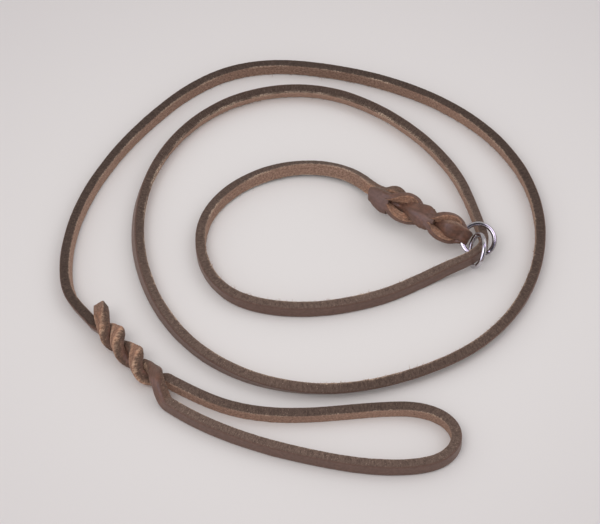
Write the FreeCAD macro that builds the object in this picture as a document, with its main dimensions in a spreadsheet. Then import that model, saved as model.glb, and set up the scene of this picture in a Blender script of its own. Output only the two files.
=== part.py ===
import FreeCAD, Part
import Sketcher
import math
import os

# Leather slip lead, laid out on a flat surface: one long leather strap that stands on its
# cut edge, a braided hand loop at one end, and a ring braided into the other end. The strap
# runs back through the ring end to make a running noose.
# Millimetres, +Z up. The origin is on the surface it rests on, at the middle of the laid-out
# lead. The strap is one flexible piece; here it is divided into runs that follow each other
# along its length, with hinges at the stations where it bends or lifts.

Vector = FreeCAD.Vector
UP = Vector(0, 0, 1)
PLUS_X = Vector(1, 0, 0)
PLUS_Y = Vector(0, 1, 0)

doc = FreeCAD.newDocument("slip_lead")

# ------------------------------------------------------------------ driving dimensions
DIMENSIONS = [
    ("strap_wide", 7.0),      # width of the strap, upright as it stands on edge
    ("strap_thick", 5.6),     # thickness of the leather
    ("strap_mid", "=strap_wide / 2"),  # height of the strap's middle above the surface
    ("pinch_thick", 4.8),     # leather squeezed where it passes the rings
    ("ring_mean", 9.0),       # mean radius of both rings
    ("ring_wire", 1.3),       # radius of the ring wire
    ("braid_rad", 6.8),       # radius of the two-strand braid
    ("braid_gap", 0.06),      # half the clearance between the two strands
    ("hinge_gap", 0.05),      # clearance at each bending station and braid end
    ("seam_gap", 0.02),       # amount trimmed from each run where they meet near the rings
    ("floor_trim", 0.02),     # height up to which the bottom run's resting edge is trimmed
    ("nose_less", 0.06),      # how much each rounded nose is smaller than the strap
    ("eye_bore", 1.75),       # half width of the eye's slot around the wire
    ("eye_wall", 2.5),        # leather around the eye
    ("eye_wide", 6.4),        # width of the leather in the eye
    ("eye_ahead", 0.5),       # centre of the eye's rounded front, ahead of its origin
    ("eye_back", 13.0),       # length of the eye's block behind its origin
    ("slot_back", 1.6),       # centre of the slot's rounded rear, behind the eye's origin
    ("tail_thick", 5.2),      # thickness of the cut tail on the hand loop braid
    ("tail_mid", 9.95),       # height of the cut tail's middle above the surface
    ("tool_size", 34.0),      # size of the trimming blocks
]
sheet = doc.addObject("Spreadsheet::Sheet", "Dims")
for row, (alias, value) in enumerate(DIMENSIONS, start=1):
    sheet.set("A%d" % row, alias)
    sheet.set("B%d" % row, str(value))
    sheet.setAlias("B%d" % row, alias)
doc.recompute()


def dim(alias):
    return float(sheet.get(alias))


parts = {}


def keep(obj, label):
    """Label a finished piece and list it for export."""
    obj.Label = label
    parts[label] = obj
    return obj


# ------------------------------------------------------------------ building blocks
def frame(origin, x_dir, z_dir):
    """Placement with its local X along x_dir and its local Z along z_dir."""
    z = Vector(z_dir).normalize()
    x = (x_dir - z * x_dir.dot(z)).normalize()
    y = z.cross(x)
    return FreeCAD.Placement(FreeCAD.Matrix(x.x, y.x, z.x, origin.x,
                                            x.y, y.y, z.y, origin.y,
                                            x.z, y.z, z.z, origin.z,
                                            0, 0, 0, 1))


def close_loop(sketch):
    """Join four edges, end to start, into a closed outline."""
    for k in range(4):
        sketch.addConstraint(Sketcher.Constraint("Coincident", k, 2, (k + 1) % 4, 1))


def bind(sketch, constraint, name, expression):
    """Add a constraint to the sketch and drive it from the sheet."""
    index = sketch.addConstraint(constraint)
    sketch.renameConstraint(index, name)
    sketch.setExpression("Constraints." + name, expression)


def rectangle(name, wide, tall, placement):
    """Centred rectangle sketch; wide and tall are aliases in the sheet."""
    sketch = doc.addObject("Sketcher::SketchObject", name)
    a, b = dim(wide) / 2, dim(tall) / 2
    corners = [Vector(-a, -b, 0), Vector(a, -b, 0), Vector(a, b, 0), Vector(-a, b, 0)]
    for k in range(4):
        sketch.addGeometry(Part.LineSegment(corners[k], corners[(k + 1) % 4]), False)
    close_loop(sketch)
    for direction, edge in (("Horizontal", 0), ("Horizontal", 2), ("Vertical", 1), ("Vertical", 3)):
        sketch.addConstraint(Sketcher.Constraint(direction, edge))
    sketch.addConstraint(Sketcher.Constraint("Symmetric", 0, 1, 2, 1, -1, 1))
    bind(sketch, Sketcher.Constraint("DistanceX", 0, 1, 0, 2, 2 * a), "wide", "Dims." + wide)
    bind(sketch, Sketcher.Constraint("DistanceY", 1, 1, 1, 2, 2 * b), "tall", "Dims." + tall)
    sketch.Placement = placement
    return sketch


def spline(points, start_dir, end_dir):
    curve = Part.BSplineCurve()
    curve.interpolate(Points=points, InitialTangent=start_dir, FinalTangent=end_dir)
    return curve


def flat_run(label, points, start_dir, end_dir,
             across="strap_thick", tall="strap_wide", level="strap_mid"):
    """A level run of strap: a rectangle swept along a flat spline.
    Points and directions are (x, y); across, tall and level are aliases in the sheet."""
    heading = Vector(*start_dir, 0)
    path = doc.addObject("Sketcher::SketchObject", label + "_path")
    path.addGeometry(spline([Vector(x, y, 0) for x, y in points],
                            heading, Vector(*end_dir, 0)), False)
    path.setExpression(".Placement.Base.z", "Dims." + level)
    placement = frame(Vector(*points[0], dim(level)), UP.cross(heading), heading)
    sweep = doc.addObject("Part::Sweep", label + "_sweep")
    sweep.Sections = [rectangle(label + "_section", across, tall, placement)]
    sweep.Spine = (path, ["Edge1"])
    sweep.Solid = True
    sweep.Frenet = False
    return sweep


def rising_run(label, points, start_dir, end_dir, across):
    """A run of strap that climbs: a rectangle swept with its height kept upright.
    Points and directions are (x, y, z)."""
    curve = spline([Vector(*point) for point in points], Vector(*start_dir), Vector(*end_dir))
    heading = Vector(*start_dir).normalize()
    left = UP.cross(heading).normalize()
    to_side = left * (dim(across) / 2)
    to_top = heading.cross(left) * (dim("strap_wide") / 2)
    start = Vector(*points[0])
    corners = [start - to_side - to_top, start + to_side - to_top,
               start + to_side + to_top, start - to_side + to_top]
    pipe = Part.BRepOffsetAPI.MakePipeShell(Part.Wire([curve.toShape()]))
    pipe.setBiNormalMode(UP)
    pipe.add(Part.makePolygon(corners + [corners[0]]))
    pipe.build()
    pipe.makeSolid()
    run = doc.addObject("Part::Feature", label + "_sweep")
    run.Shape = pipe.shape()
    return run


def block(name, at, out_dir, short):
    """Trimming block that starts the distance short before the point at and extends
    along out_dir."""
    box = doc.addObject("Part::Box", name)
    for side in ("Length", "Width", "Height"):
        box.setExpression(side, "Dims.tool_size")
    half = dim("tool_size") / 2
    normal = Vector(out_dir).normalize()
    left = UP.cross(normal).normalize()
    top = normal.cross(left)
    box.Placement = frame(at - normal * short - left * half - top * half, normal, top)
    return box


def cut(name, base, tool):
    result = doc.addObject("Part::Cut", name)
    result.Base = base
    result.Tool = tool
    return result


def square_end(label, base, at, out_dir, short):
    """Trim the strap flat, the distance short before the point at."""
    return cut(label, base, block(label + "_block", at, out_dir, short))


def round_end(label, base, at, out_dir, axis, size):
    """Trim the strap to a half-round nose about a bending axis through the point at;
    size is the alias of the strap dimension that sets the nose's diameter."""
    nose = doc.addObject("Part::Cylinder", label + "_nose")
    nose.setExpression("Radius", "Dims." + size + " / 2 - Dims.nose_less")
    nose.setExpression("Height", "Dims.tool_size * 2")
    nose_base = at - Vector(axis).normalize() * dim("tool_size")
    nose.Placement = frame(nose_base, out_dir, axis)
    tool = cut(label + "_tool", block(label + "_block", at, out_dir, 0), nose)
    return cut(label, base, tool)


# ------------------------------------------------------------------ hinges and braid ends
def on_strap(x, y):
    """Point at the middle height of the strap."""
    return Vector(x, y, dim("strap_mid"))


# the strap swings about an upright axis at these stations, heading as given
left_swing_at, left_swing_dir = on_strap(-101.098, 85.927), Vector(0.53707, 0.84354, 0)
coil_swing_at, coil_swing_dir = on_strap(-91.603, 1.928), Vector(-0.13614, 0.99069, 0)

# it lifts about a level axis at these
handle_lift_at = on_strap(-130.797, 2.004)
lead_lift_at = on_strap(-68.351, -56.808)
noose_lift_at = on_strap(77.029, 74.489)
loop_lift_at = on_strap(-75.251, -98.751)

hinge_gap = dim("hinge_gap")
seam_gap = dim("seam_gap")
swing_reach = dim("strap_thick") / 2 + hinge_gap
lift_reach = dim("strap_wide") / 2 + hinge_gap

# ends of the two braids' centre lines
hand_low = Vector(-77.43, -95.886, 7)
hand_high = Vector(-107.895, -55.817, 7)
ring_low = Vector(38.9, 37.422, 7.1)
ring_high = Vector(78.124, 10.694, 9.6)
hand_axis = (hand_high - hand_low).normalize()
ring_axis = (ring_high - ring_low).normalize()
loop_axis = UP.cross(hand_axis)

# seams where one run continues straight into the next: point (x, y) and heading
right_start, right_heading = (68.62, 124.13), (0.85905, -0.5119)
bottom_start, bottom_heading = (106.34, -52.31), (-0.62125, -0.78361)
coil_right_start, coil_right_heading = (-36.28, 120.62), (0.91389, 0.40597)
pass_start, pass_heading = (90.77, 45.57), (0.30922, -0.95099)
bend_start, bend_heading = (-43.61, -28.14), (-0.70879, 0.70542)
upper_start, upper_heading = (-39.64, 48.05), (0.73712, 0.67576)
bight_start, bight_heading = (46.57, -148.5), (0.9999, 0.01441)
limb_start, limb_heading = (39.44, -110.5), (-0.99746, -0.07129)

# Every run below lists its path points, then its directions at the start and the end.

# ------------------------------------------------------------------ outer sweep of the strap
run = flat_run("lead_left_lower_run", [
    (-110.86, -56.02), (-118.86, -44.98), (-126.47, -33.69), (-130.23, -20.64),
    (-131.08, -7.03), (-130.42, 6.59),
], (-0.55324, 0.83302), (0.09799, 0.99519))
run = square_end("lead_left_lower_a", run, hand_high, -hand_axis, hinge_gap)
keep(round_end("lead_left_lower", run, handle_lift_at, PLUS_Y, PLUS_X, "strap_wide"),
     "lead_left_lower")

run = flat_run("lead_left_upper_run", [
    (-131.02, -2.59), (-130.07, 9.76), (-128.06, 21.99), (-125.07, 34.02), (-121.2, 45.79),
    (-116.55, 57.27), (-111.18, 68.44), (-105.17, 79.28), (-98.59, 89.78),
], (0.03061, 0.99953), (0.55294, 0.83322))
run = square_end("lead_left_upper_a", run, handle_lift_at, -PLUS_Y, lift_reach)
keep(round_end("lead_left_upper", run, left_swing_at, left_swing_dir, UP, "strap_thick"),
     "lead_left_upper")

run = flat_run("lead_top_run", [
    (-103.53, 82.02), (-96.61, 92.73), (-89.15, 103.07), (-81.18, 113.03), (-72.56, 122.42),
    (-63.09, 130.96), (-52.69, 138.31), (-41.24, 143.9), (-28.96, 147.24), (-16.28, 148.49),
    (-3.55, 147.88), (9.05, 145.93), (21.5, 143.19), (33.77, 139.7), (45.76, 135.38),
    (57.41, 130.21), right_start,
], (0.52055, 0.85383), right_heading)
keep(square_end("lead_top", run, left_swing_at, -left_swing_dir, swing_reach), "lead_top")

run = flat_run("lead_right", [
    right_start, (79.34, 117.11), (89.38, 109.17), (98.62, 100.3), (106.91, 90.53),
    (114.12, 79.95), (120.18, 68.67), (124.99, 56.8), (128.45, 44.47), (130.48, 31.83),
    (131.07, 19.04), (130.26, 6.25), (128.08, -6.37), (124.58, -18.68), (119.78, -30.55),
    (113.69, -41.82), bottom_start,
], right_heading, bottom_heading)
keep(run, "lead_right")

run = flat_run("lead_bottom_run", [
    bottom_start, (97.66, -61.96), (87.81, -70.41), (76.96, -77.55), (65.44, -83.55),
    (53.49, -88.64), (41.19, -92.79), (28.53, -95.7), (15.64, -97.22), (2.65, -97.16),
    (-10.2, -95.32), (-22.66, -91.71), (-34.53, -86.44), (-45.57, -79.62), (-55.59, -71.36),
    (-64.44, -61.86), (-72.09, -51.37),
], bottom_heading, (-0.54302, 0.83972))
run = square_end("lead_bottom_a", run, lead_lift_at, PLUS_Y, lift_reach)
# the slab trims the resting edge to a true plane
floor_slab = doc.addObject("Part::Box", "floor_slab")
floor_slab.Length = 260
floor_slab.Width = 120
floor_slab.Height = 10
floor_slab.Placement.Base = Vector(-120, -130, -10 + dim("floor_trim"))
keep(cut("lead_bottom", run, floor_slab), "lead_bottom")

# ------------------------------------------------------------------ inner coil
run = flat_run("coil_left_run", [
    (-64.3, -62.02), (-71.71, -51.96), (-78.01, -41.16), (-83.21, -29.8), (-87.31, -18),
    (-90.3, -5.86), (-92.15, 6.5),
], (-0.63693, 0.77092), (-0.10231, 0.99475))
run = round_end("coil_left_a", run, lead_lift_at, -PLUS_Y, PLUS_X, "strap_wide")
keep(square_end("coil_left", run, coil_swing_at, coil_swing_dir, swing_reach), "coil_left")

run = flat_run("coil_top_run", [
    (-90.9, -2.62), (-92.5, 10.42), (-92.82, 23.55), (-91.84, 36.65), (-89.54, 49.58),
    (-85.91, 62.2), (-80.95, 74.36), (-74.68, 85.9), (-67.06, 96.59), (-58.09, 106.17),
    (-47.78, 114.31), coil_right_start,
], (-0.16979, 0.98548), coil_right_heading)
keep(round_end("coil_top", run, coil_swing_at, -coil_swing_dir, UP, "strap_thick"), "coil_top")

run = flat_run("coil_right_run", [
    coil_right_start, (-24.16, 124.88), (-11.51, 127.14), (1.34, 127.25), (13.99, 125.02),
    (26.05, 120.58), (37.31, 114.4), (47.74, 106.88), (57.37, 98.36), (66.19, 89),
    (74.09, 78.85), (80.95, 67.98),
], coil_right_heading, (0.49052, -0.87143))
keep(square_end("coil_right", run, noose_lift_at, -PLUS_Y, lift_reach), "coil_right")

# ------------------------------------------------------------------ noose
run = flat_run("noose_entry_run", [
    (72.72, 80.75), (79.98, 69.69), (86.03, 57.92), pass_start,
], (0.5901, -0.80733), pass_heading)
keep(round_end("noose_entry", run, noose_lift_at, PLUS_Y, PLUS_X, "strap_wide"), "noose_entry")

# the strap climbs over the near side of the eye ring and turns sharply inside the rings
ring_turn_at, ring_turn_dir = Vector(89.298, -9.699, 8.794), Vector(-0.8818, -0.43946, -0.17119)
run = rising_run("ring_pass_run", [
    (*pass_start, dim("strap_mid")), (92.19, 40.94, 3.5), (93.47, 36.26, 3.5),
    (94.61, 31.56, 3.68), (95.63, 26.83, 4.01), (96.55, 22.1, 4.53), (97.39, 17.39, 5.29),
    (98.14, 12.72, 6.32), (98.73, 8.08, 7.58), (98.82, 3.41, 8.88), (97.97, -1.23, 9.89),
    (95.47, -5.32, 9.94), (91.75, -8.33, 9.26), (87.51, -10.53, 8.44),
], (*pass_heading, 0), (-0.90176, -0.39167, -0.1828), "pinch_thick")
keep(square_end("ring_pass", run, ring_turn_at, ring_turn_dir, seam_gap), "ring_pass")

# the strap comes back down to the surface and meets noose_lower
lower_heading = (-0.9358, -0.35253)
run = rising_run("ring_exit_run", [
    (91.03, -8.76, 9.12), (85.03, -11.53, 7.92), (78.87, -13.71, 6.37), (72.8, -16.06, 4.68),
    (66.85, -18.99, 3.67), (61.02, -22.32, 3.5), (55.23, -25.73, 3.5), (49.32, -28.93, 3.55),
    (43.21, -31.72, 3.5), (36.93, -34.14, 3.5),
], (-0.8516, -0.49892, -0.16082), (-0.94194, -0.33577, 0), "strap_thick")
run = square_end("ring_exit_a", run, ring_turn_at, -ring_turn_dir, seam_gap)
keep(square_end("ring_exit", run, on_strap(39.28, -33.275), Vector(*lower_heading, 0), seam_gap),
     "ring_exit")

run = flat_run("noose_lower", [
    (39.28, -33.27), (27.47, -37.12), (15.34, -39.82), (3, -41.21), (-9.42, -41.06),
    (-21.69, -39.16), (-33.44, -35.17), bend_start,
], lower_heading, bend_heading)
keep(run, "noose_lower")

run = flat_run("noose_bend", [
    bend_start, (-50.84, -18.43), (-55.46, -7.23), (-57.52, 4.72), (-57.02, 16.82),
    (-53.68, 28.47), (-47.71, 39.01), upper_start,
], bend_heading, upper_heading)
keep(run, "noose_bend")

run = flat_run("noose_upper_run", [
    upper_start, (-28.97, 55.95), (-16.92, 61.5), (-3.96, 64.38), (9.3, 64.23),
    (22.03, 60.58), (32.95, 53.12), (40.8, 42.44),
], upper_heading, (0.51682, -0.85609))
keep(square_end("noose_upper", run, ring_low, ring_axis, hinge_gap), "noose_upper")

# ------------------------------------------------------------------ hand loop
run = flat_run("handle_lower_limb_run", [
    (-83.29, -96.35), (-74.59, -104.49), (-65.22, -111.85), (-55.28, -118.41),
    (-44.87, -124.21), (-34.09, -129.3), (-23.04, -133.74), (-11.77, -137.61),
    (-0.34, -140.97), (11.21, -143.89), (22.88, -146.34), (34.67, -148), bight_start,
], (0.71487, -0.69926), bight_heading)
keep(round_end("handle_lower_limb", run, loop_lift_at, hand_axis, loop_axis, "strap_wide"),
     "handle_lower_limb")

run = flat_run("handle_bight", [
    bight_start, (53.49, -148.16), (60.34, -147.2), (66.95, -145.19), (72.78, -141.52),
    (76.88, -135.99), (78.34, -129.29), (76.67, -122.62), (72.45, -117.19), (66.66, -113.44),
    (60.12, -111.2), (53.27, -110.24), (46.35, -110.14), limb_start,
], bight_heading, limb_heading)
keep(run, "handle_bight")

run = flat_run("handle_upper_limb_run", [
    limb_start, (27.45, -111.64), (15.48, -113.02), (3.49, -114.09), (-8.55, -114.37),
    (-20.56, -113.53), (-32.39, -111.33), (-43.8, -107.51), (-54.59, -102.17),
    (-64.89, -95.94), (-75.03, -89.44),
], limb_heading, (-0.84209, 0.53933))
keep(round_end("handle_upper_limb", run, loop_lift_at, hand_axis, loop_axis, "strap_wide"),
     "handle_upper_limb")

# the cut end of the strap lies on its broad side where it leaves the braid
tail_heading = (-0.14582, 0.98931)
run = flat_run("handle_tail_end_run", [
    (-107, -59.44), (-108.55, -50.94), (-109.5, -42.44),
], tail_heading, tail_heading, across="strap_wide", tall="tail_thick", level="tail_mid")
keep(square_end("handle_tail_end", run, hand_high, -hand_axis, hinge_gap), "handle_tail_end")

# ------------------------------------------------------------------ braids
BRAID_TURN = 540    # degrees each strand turns along a braid
BRAID_STEPS = 18    # lofted spans along a braid


def half_round(centre, bulge, side):
    """Closed half-round section, its arc toward bulge and its flat along side."""
    radius = dim("braid_rad")
    half_angle = math.acos(dim("braid_gap") / radius)

    def rim(angle):
        return centre + bulge * (radius * math.cos(angle)) + side * (radius * math.sin(angle))

    arc = Part.Arc(rim(-half_angle), rim(0), rim(half_angle)).toShape()
    flat = Part.makeLine(rim(half_angle), rim(-half_angle))
    return Part.Wire([arc, flat])


def strand(label, start, end, turn_start):
    """One strand: a half-round section lofted along the braid while it turns."""
    axis = (end - start).normalize()
    x = UP.cross(axis).normalize()
    y = axis.cross(x)
    wires = []
    for i in range(BRAID_STEPS + 1):
        part_way = i / BRAID_STEPS
        turn = math.radians(turn_start + BRAID_TURN * part_way)
        bulge = x * math.cos(turn) + y * math.sin(turn)
        side = y * math.cos(turn) - x * math.sin(turn)
        wires.append(half_round(start + (end - start) * part_way, bulge, side))
    piece = doc.addObject("Part::Feature", label)
    piece.Shape = Part.makeLoft(wires, True, False)
    keep(piece, label)


# the cut end of the strap and the strap itself wound through each other, half a turn apart
for braid, start, end, turn_start in (("handle_braid", hand_low, hand_high, 20),
                                      ("ring_braid", ring_low, ring_high, 90)):
    strand(braid + "_lead", start, end, turn_start)
    strand(braid + "_tail", start, end, turn_start + 180)


# ------------------------------------------------------------------ eye
# leather folded round the ring wire: a block with a rounded front and a slot through it
def eye_sketch(body, name, radius, rear, round_rear, radius_name, expression):
    """Outline on the body's XY plane from x = rear to a half-round front of the radius."""
    sketch = body.newObject("Sketcher::SketchObject", name)
    plane = [o for o in body.Origin.OriginFeatures if o.Role == "XY_Plane"][0]
    sketch.AttachmentSupport = (plane, [""])
    sketch.MapMode = "FlatFace"
    front = dim("eye_ahead")
    quarter = math.pi / 2
    if round_rear:
        rear_edge = Part.ArcOfCircle(Part.Circle(Vector(rear, 0, 0), UP, radius),
                                     quarter, 3 * quarter)
    else:
        rear_edge = Part.LineSegment(Vector(rear, radius, 0), Vector(rear, -radius, 0))
    for edge in (
        Part.ArcOfCircle(Part.Circle(Vector(front, 0, 0), UP, radius), -quarter, quarter),
        Part.LineSegment(Vector(front, radius, 0), Vector(rear, radius, 0)),
        rear_edge,
        Part.LineSegment(Vector(rear, -radius, 0), Vector(front, -radius, 0)),
    ):
        sketch.addGeometry(edge, False)
    close_loop(sketch)
    bind(sketch, Sketcher.Constraint("Radius", 0, radius), radius_name, expression)
    return sketch


def make_symmetric(feature):
    """Extend a pad or pocket to both sides, under whichever property it offers."""
    if hasattr(feature, "SideType"):
        feature.SideType = "Symmetric"
    else:
        feature.Midplane = True


eye_body = doc.addObject("PartDesign::Body", "ring_eye_body")
outline = eye_sketch(eye_body, "eye_outline", dim("eye_bore") + dim("eye_wall"),
                     -dim("eye_back"), False, "outer", "Dims.eye_bore + Dims.eye_wall")
pad = eye_body.newObject("PartDesign::Pad", "eye_pad")
pad.Profile = outline
pad.setExpression("Length", "Dims.eye_wide")
make_symmetric(pad)
slot = eye_sketch(eye_body, "eye_slot", dim("eye_bore"),
                  -dim("slot_back"), True, "bore", "Dims.eye_bore")
doc.recompute()
solid_volume = pad.Shape.Volume
pocket = eye_body.newObject("PartDesign::Pocket", "eye_pocket")
pocket.Profile = slot
pocket.Type = 1    # through all
make_symmetric(pocket)
doc.recompute()
LEAST_SLOT_VOLUME = 50
if not pocket.Shape.Volume < solid_volume - LEAST_SLOT_VOLUME:
    raise SystemExit("the eye's slot was not cut")
eye_body.Placement = frame(Vector(87.262, 7.684, 10.012), Vector(0.8921, -0.4317, 0.13339),
                           Vector(0.32557, 0.81884, 0.47276))
keep(square_end("ring_eye", eye_body, ring_high, -ring_axis, hinge_gap), "ring_eye")


# ------------------------------------------------------------------ rings
def wire_ring(label, centre, normal):
    ring = doc.addObject("Part::Torus", label)
    ring.setExpression("Radius1", "Dims.ring_mean")
    ring.setExpression("Radius2", "Dims.ring_wire")
    ring.Placement = frame(centre, PLUS_X, normal)
    keep(ring, label)


# welded round-wire rings: one held in the eye, one linked in it and running on the strap
wire_ring("eye_ring", Vector(95.771, 5.146, 8.547), Vector(0, -0.5, 0.86603))
wire_ring("running_ring", Vector(94.571, -4.036, 9.699), Vector(0.9231, 0.12576, -0.36342))

# ------------------------------------------------------------------ check and write
doc.recompute()
for obj in doc.Objects:
    if "Invalid" in obj.State or "Error" in obj.State:
        raise SystemExit("failed object: %s %s" % (obj.Name, obj.State))
for label, obj in parts.items():
    shape = obj.Shape
    if shape.isNull() or not shape.isValid() or len(shape.Solids) != 1:
        raise SystemExit("bad shape: %s null=%s valid=%s solids=%s"
                         % (label, shape.isNull(), shape.isValid(), len(shape.Solids)))
os.makedirs("parts", exist_ok=True)
for label, obj in parts.items():
    obj.Shape.exportStep("parts/%s.step" % label)
print("wrote %d parts" % len(parts))
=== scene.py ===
# A leather strap, 7 mm wide and 5.6 mm thick, laid in a flat coil on the floor. It stands on its
# cut edge for most of its length. A hand loop and its braid lie at -x, -y; in the middle of the
# coil the strap ends in a noose, whose braid holds one of two metal rings.
# Lengths are in mm unless said otherwise; the floor is z = 0 and the camera looks down from -y.
import bmesh
import bpy
import itertools
import math
import numpy as np
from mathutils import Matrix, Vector


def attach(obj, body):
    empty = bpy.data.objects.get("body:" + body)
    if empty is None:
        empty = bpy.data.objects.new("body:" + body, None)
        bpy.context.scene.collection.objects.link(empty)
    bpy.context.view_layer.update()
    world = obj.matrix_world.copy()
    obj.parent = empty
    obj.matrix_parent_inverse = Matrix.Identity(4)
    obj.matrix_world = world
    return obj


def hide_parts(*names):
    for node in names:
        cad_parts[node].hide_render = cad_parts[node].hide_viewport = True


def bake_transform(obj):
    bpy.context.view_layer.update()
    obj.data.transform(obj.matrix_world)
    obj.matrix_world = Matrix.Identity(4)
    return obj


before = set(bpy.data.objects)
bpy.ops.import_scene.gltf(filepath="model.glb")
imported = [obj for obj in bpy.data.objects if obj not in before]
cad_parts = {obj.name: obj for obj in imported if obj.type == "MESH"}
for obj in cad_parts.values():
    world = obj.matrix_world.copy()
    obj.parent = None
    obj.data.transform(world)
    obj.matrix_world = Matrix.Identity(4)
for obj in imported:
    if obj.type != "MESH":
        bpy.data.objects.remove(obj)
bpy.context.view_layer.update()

MM = 0.001
Z = np.array([0.0, 0.0, 1.0])

HALF_WIDTH = 3.5
HALF_THICK = 2.8
STEP = 0.6              # spacing of the rings of vertices along the strap
BLEND_REACH = 16.0      # reach each side of a bend's station; blend_at samples the run there but does not use it

# ---------------------------------------------------------------- laid-out path of the strap


def on_edge(values):
    """Points from x, y pairs, at the mid-height of a strap that stands on its edge."""
    pairs = np.reshape(values, (-1, 2))
    return np.column_stack([pairs, np.full(len(pairs), HALF_WIDTH)])


# x, y from the hand braid round the coil to the noose
RUN_COIL = on_edge([
    -112.517, -53.522, -116.005, -48.642, -119.695, -43.911, -123.259, -39.085,
    -126.339, -33.941, -128.556, -28.374, -129.933, -22.538, -130.685, -16.587,
    -131.019, -10.597, -131.063, -4.598, -130.835, 1.397, -130.343, 7.377, -129.595, 13.329,
    -128.603, 19.246, -127.377, 25.119, -125.927, 30.941, -124.266, 36.706, -122.404, 42.41,
    -120.352, 48.048, -118.12, 53.617, -115.717, 59.115, -113.151, 64.538, -110.429, 69.884,
    -107.558, 75.153, -104.547, 80.342, -101.401, 85.451, -98.128, 90.48, -94.734, 95.427,
    -91.226, 100.295, -87.608, 105.082, -83.88, 109.783, -80.022, 114.377, -76.01, 118.838,
    -71.826, 123.138, -67.453, 127.245, -62.879, 131.127, -58.096, 134.748, -53.094, 138.06,
    -47.86, 140.989, -42.391, 143.453, -36.72, 145.406, -30.902, 146.864, -24.984, 147.849,
    -19.01, 148.385, -13.012, 148.497, -7.02, 148.207, -1.054, 147.572, 4.878, 146.674,
    10.779, 145.591, 16.649, 144.35, 22.482, 142.944, 28.271, 141.369, 34.009, 139.617,
    39.689, 137.685, 45.303, 135.566, 50.84, 133.256, 56.292, 130.751, 61.648, 128.048,
    66.898, 125.144, 72.031, 122.039, 77.037, 118.732, 81.903, 115.222, 86.615, 111.509,
    91.16, 107.593, 95.523, 103.474, 99.687, 99.155, 103.637, 94.64, 107.359, 89.935,
    110.846, 85.052, 114.087, 80.004, 117.076, 74.802, 119.803, 69.458, 122.257, 63.984,
    124.429, 58.392, 126.31, 52.695, 127.888, 46.907, 129.153, 41.042, 130.098, 35.118,
    130.724, 29.151, 131.035, 23.16, 131.037, 17.161, 130.733, 11.169, 130.127, 5.2,
    129.224, -0.731, 128.027, -6.609, 126.539, -12.421, 124.762, -18.152, 122.7, -23.785,
    120.353, -29.307, 117.725, -34.7, 114.817, -39.947, 111.633, -45.031, 108.175, -49.934,
    104.448, -54.635, 100.457, -59.114, 96.21, -63.351, 91.717, -67.326, 86.988, -71.017,
    82.048, -74.422, 76.935, -77.56, 71.681, -80.456, 66.312, -83.134, 60.851, -85.618,
    55.314, -87.928, 49.702, -90.05, 44.01, -91.946, 38.239, -93.588, 32.398, -94.958,
    26.497, -96.041, 20.549, -96.821, 14.567, -97.279, 8.569, -97.395, 2.575, -97.15,
    -3.391, -96.525, -9.303, -95.508, -15.137, -94.109, -20.869, -92.342, -26.48, -90.219,
    -31.948, -87.75, -37.251, -84.947, -42.369, -81.817, -47.279, -78.37, -51.959, -74.617,
    -56.397, -70.58, -60.585, -66.285, -64.52, -61.756, -68.198, -57.017, -71.621, -52.09,
    -74.788, -46.995, -77.702, -41.75, -80.362, -36.373, -82.772, -30.879, -84.928, -25.28,
    -86.831, -19.59, -88.476, -13.821, -89.863, -7.984, -90.989, -2.091, -91.852, 3.846,
    -92.452, 9.816, -92.784, 15.806, -92.849, 21.805, -92.643, 27.801, -92.165, 33.781,
    -91.412, 39.734, -90.384, 45.644, -89.079, 51.5, -87.497, 57.287, -85.636, 62.991,
    -83.498, 68.596, -81.084, 74.088, -78.395, 79.451, -75.43, 84.667, -72.187, 89.714,
    -68.663, 94.569, -64.856, 99.205, -60.765, 103.593, -56.393, 107.7, -51.744, 111.491,
    -46.829, 114.931, -41.665, 117.983, -36.28, 120.625, -30.71, 122.852, -24.99, 124.656,
    -19.15, 126.028, -13.223, 126.955, -7.243, 127.42, -1.245, 127.405, 4.731, 126.888,
    10.638, 125.849, 16.433, 124.301, 22.084, 122.289, 27.57, 119.862, 32.879, 117.068,
    38.005, 113.952, 42.949, 110.554, 47.713, 106.907, 52.301, 103.041, 56.719, 98.982,
    60.965, 94.743, 65.027, 90.328, 68.894, 85.741, 72.553, 80.987, 75.992, 76.071,
    79.199, 71.001, 82.162, 65.784, 84.87, 60.43, 85.921, 58.162, 86.924, 55.872,
    87.881, 53.562, 88.789, 51.233, 89.648, 48.886, 90.461, 46.522, 91.23, 44.143,
    91.957, 41.751, 92.644, 39.347, 93.293, 36.934])
# x, y, z where the strap rises through the rings and comes down again
RUN_RAISED = np.reshape([
    93.906, 34.511, 3.545, 94.487, 32.081, 3.652, 95.036, 29.646, 3.792, 95.555, 27.208, 3.977,
    96.046, 24.768, 4.212, 96.512, 22.329, 4.503, 96.954, 19.894, 4.855, 97.373, 17.465, 5.274,
    97.772, 15.047, 5.765, 98.151, 12.642, 6.334, 98.493, 10.249, 6.97, 98.748, 7.856, 7.646,
    98.866, 5.454, 8.328, 98.797, 3.043, 8.983, 98.474, 0.633, 9.557, 97.786, -1.732, 9.957,
    96.609, -3.926, 10.06, 94.989, -5.813, 9.859, 93.097, -7.408, 9.512, 91.034, -8.763, 9.125,
    88.856, -9.915, 8.707, 86.608, -10.909, 8.254, 84.321, -11.792, 7.759,
    82.022, -12.608, 7.215, 79.73, -13.403, 6.613, 77.456, -14.216, 5.964,
    75.199, -15.071, 5.315, 72.954, -15.995, 4.719, 70.722, -17.007, 4.229,
    68.508, -18.11, 3.866, 66.314, -19.281, 3.613, 64.138, -20.502, 3.5, 61.977, -21.755, 3.5,
    59.824, -23.025, 3.5, 57.672, -24.298, 3.5, 55.513, -25.558, 3.5, 53.341, -26.794, 3.5,
    51.146, -27.99, 3.528, 48.923, -29.131, 3.547, 46.667, -30.209, 3.53,
    44.383, -31.225, 3.508], (-1, 3))
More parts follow.
